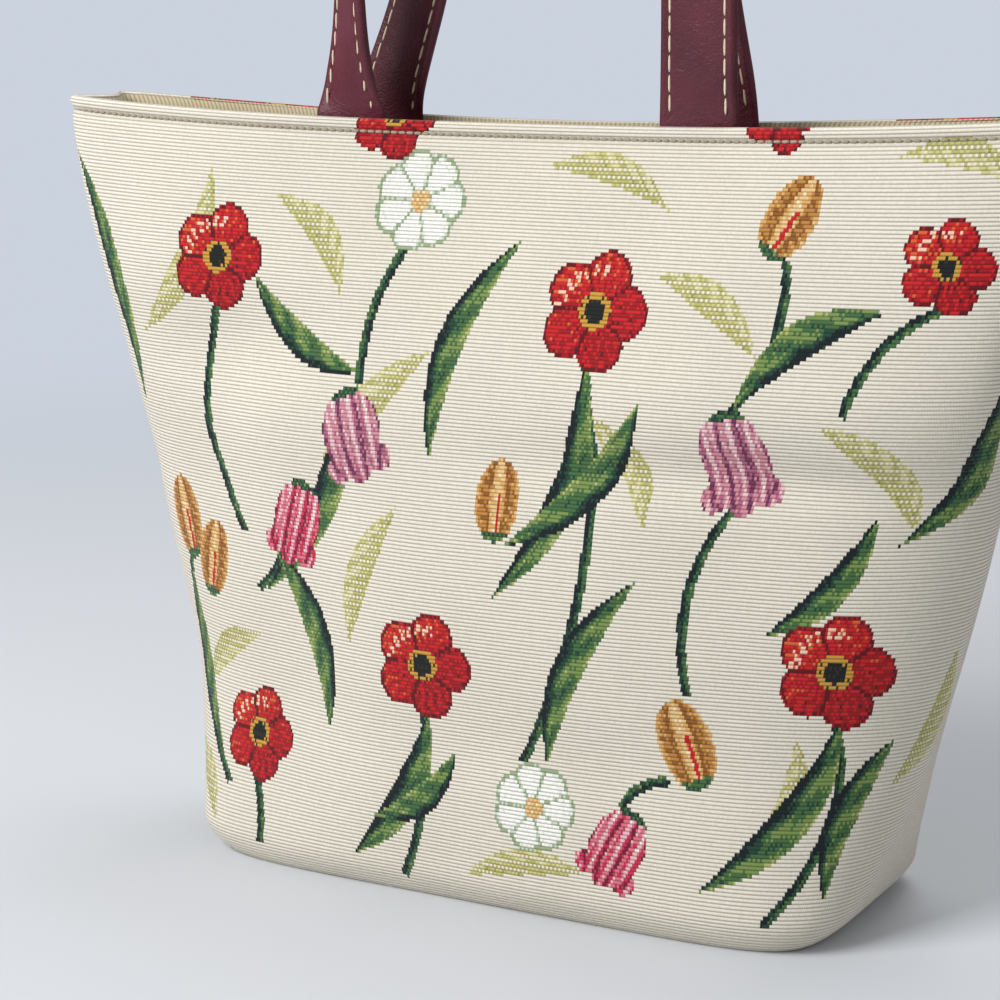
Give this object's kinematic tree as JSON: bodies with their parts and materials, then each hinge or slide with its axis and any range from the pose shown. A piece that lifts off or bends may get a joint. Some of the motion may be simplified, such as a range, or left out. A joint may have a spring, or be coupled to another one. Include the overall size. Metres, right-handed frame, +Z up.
{
  "type": "tote_bag",
  "caption": "Soft cream tapestry tote bag with a woven flower meadow, an open flared top and burgundy strap handles with pale stitching",
  "frame": {"origin": "middle of the base, on the surface that the bag stands on", "axes": "+X towards the right end seen from the front, +Y from the front to the back, +Z up"},
  "size_m": [0.4246, 0.1284, 0.5093],
  "materials": {
    "tapestry_cloth": "rough, thick ribbed weave in cream yarn",
    "facing_cloth": "rough ribbed weave, ribs upright",
    "lining_cloth": "plain dull lining",
    "base_card": "dull stiff board",
    "strap_leather": "burgundy, satin, finely creased",
    "red_yarn": "rough woven red",
    "white_yarn": "rough woven off-white",
    "pink_yarn": "rough woven mauve pink",
    "gold_yarn": "rough woven gold",
    "dark_green_yarn": "rough woven dark green",
    "pale_green_yarn": "rough woven pale yellow green"
  },
  "bodies": {
    "bag": {"front_panel": "tapestry_cloth", "back_panel": "tapestry_cloth", "front_facing": "facing_cloth", "back_facing": "facing_cloth", "front_lining": "lining_cloth", "back_lining": "lining_cloth", "base_board": "base_card", "front_handle_ends": "strap_leather", "back_handle_ends": "strap_leather", "front_red_poppies": "red_yarn", "front_white_daisies": "white_yarn", "front_pink_bells": "pink_yarn", "front_gold_buds": "gold_yarn", "front_dark_leaves": "dark_green_yarn", "front_pale_leaves": "pale_green_yarn", "back_red_poppies": "red_yarn", "back_white_daisies": "white_yarn", "back_pink_bells": "pink_yarn", "back_gold_buds": "gold_yarn", "back_dark_leaves": "dark_green_yarn", "back_pale_leaves": "pale_green_yarn"},
    "front_handle": {"front_handle": "strap_leather"},
    "back_handle": {"back_handle": "strap_leather"}
  },
  "joints": [
    {"name": "front_handle_fold", "type": "hinge", "parent": "bag", "child": "front_handle", "pos_m": [0, -0.0189, 0.2923], "axis": [1, 0, 0], "range_deg": [-2, 150]},
    {"name": "back_handle_fold", "type": "hinge", "parent": "bag", "child": "back_handle", "pos_m": [0, 0.0189, 0.2923], "axis": [-1, 0, 0], "range_deg": [-2, 150]}
  ]
}
